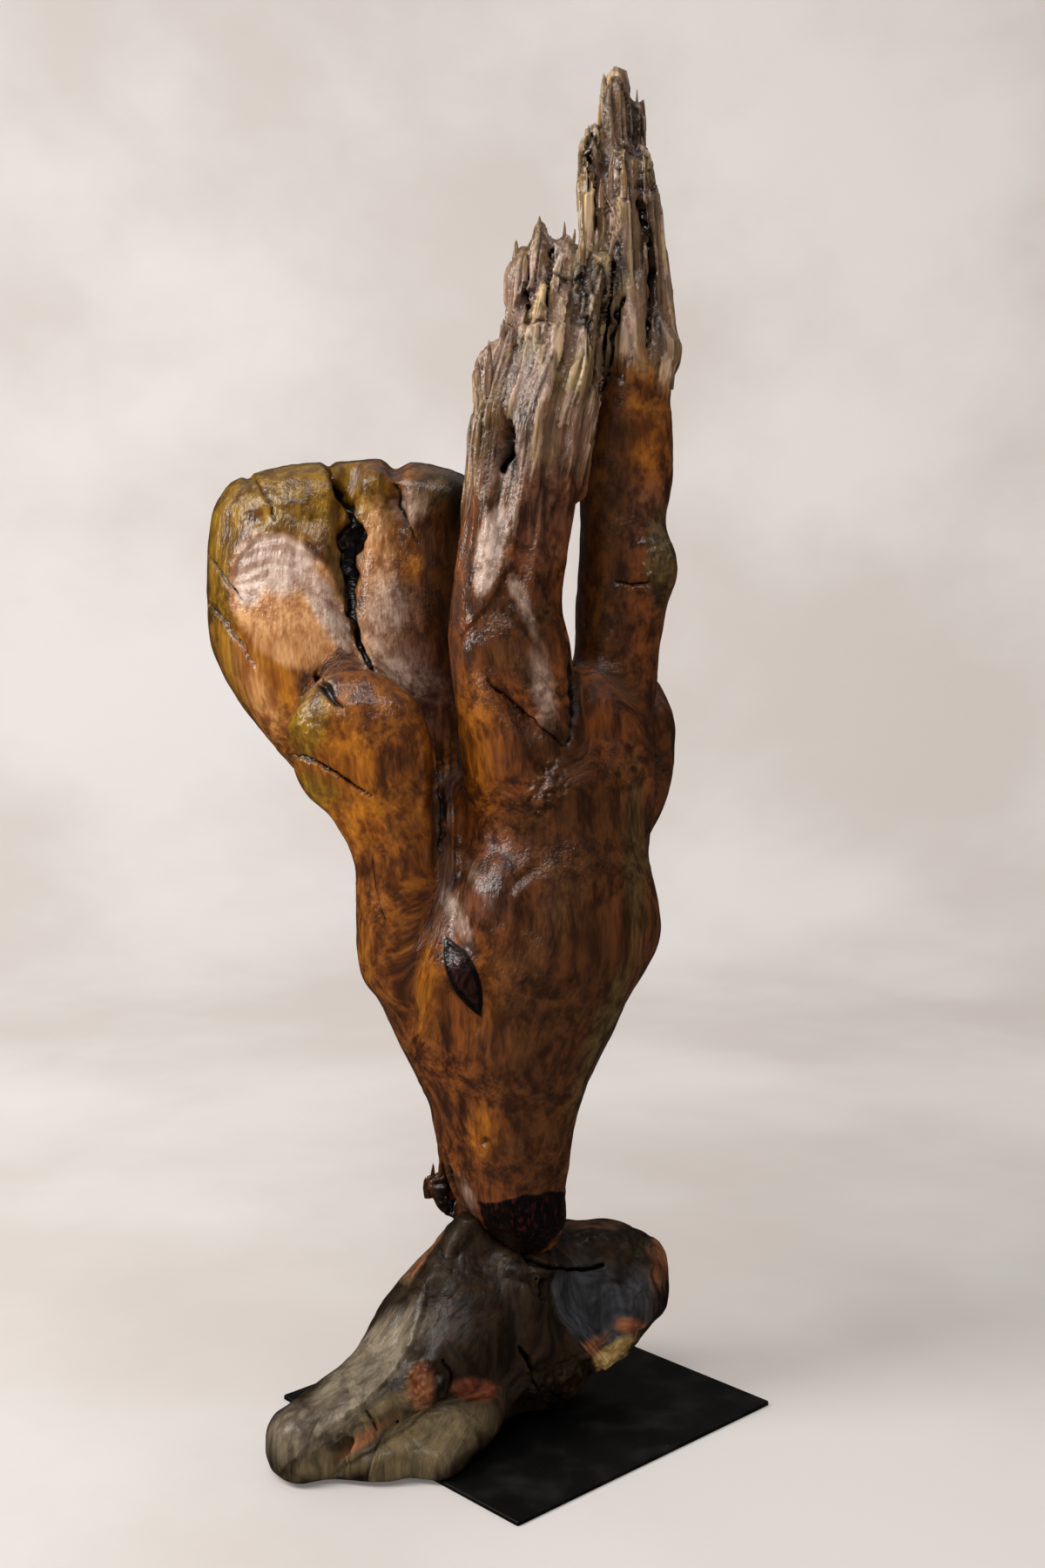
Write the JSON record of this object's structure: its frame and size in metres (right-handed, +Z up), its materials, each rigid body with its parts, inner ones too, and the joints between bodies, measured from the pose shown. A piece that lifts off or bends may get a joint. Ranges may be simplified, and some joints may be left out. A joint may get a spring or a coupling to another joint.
{
  "type": "driftwood antelope sculpture",
  "caption": "Free-standing sculpture: an antelope's bowed head with horns, ears and neck, carved from oiled driftwood, set nose down on a dark root over a square black steel plate.",
  "frame": {"origin": "middle of the steel plate's underside, on the floor", "axes": "+Z up; X and Y along the sides of the square plate; the antelope's face looks roughly along -Y"},
  "size_m": [0.5914, 0.5828, 1.5123],
  "materials": {
    "oiled_driftwood": "oiled and glossy, warm red-brown to orange, with grey-brown splintered horns",
    "root_driftwood": "dark weathered root with a satin coat",
    "blackened_steel": "satin black with faint smudges"
  },
  "bodies": {
    "root": {"antelope": "oiled_driftwood", "root_base": "root_driftwood", "steel_plate": "blackened_steel"}
  },
  "joints": []
}
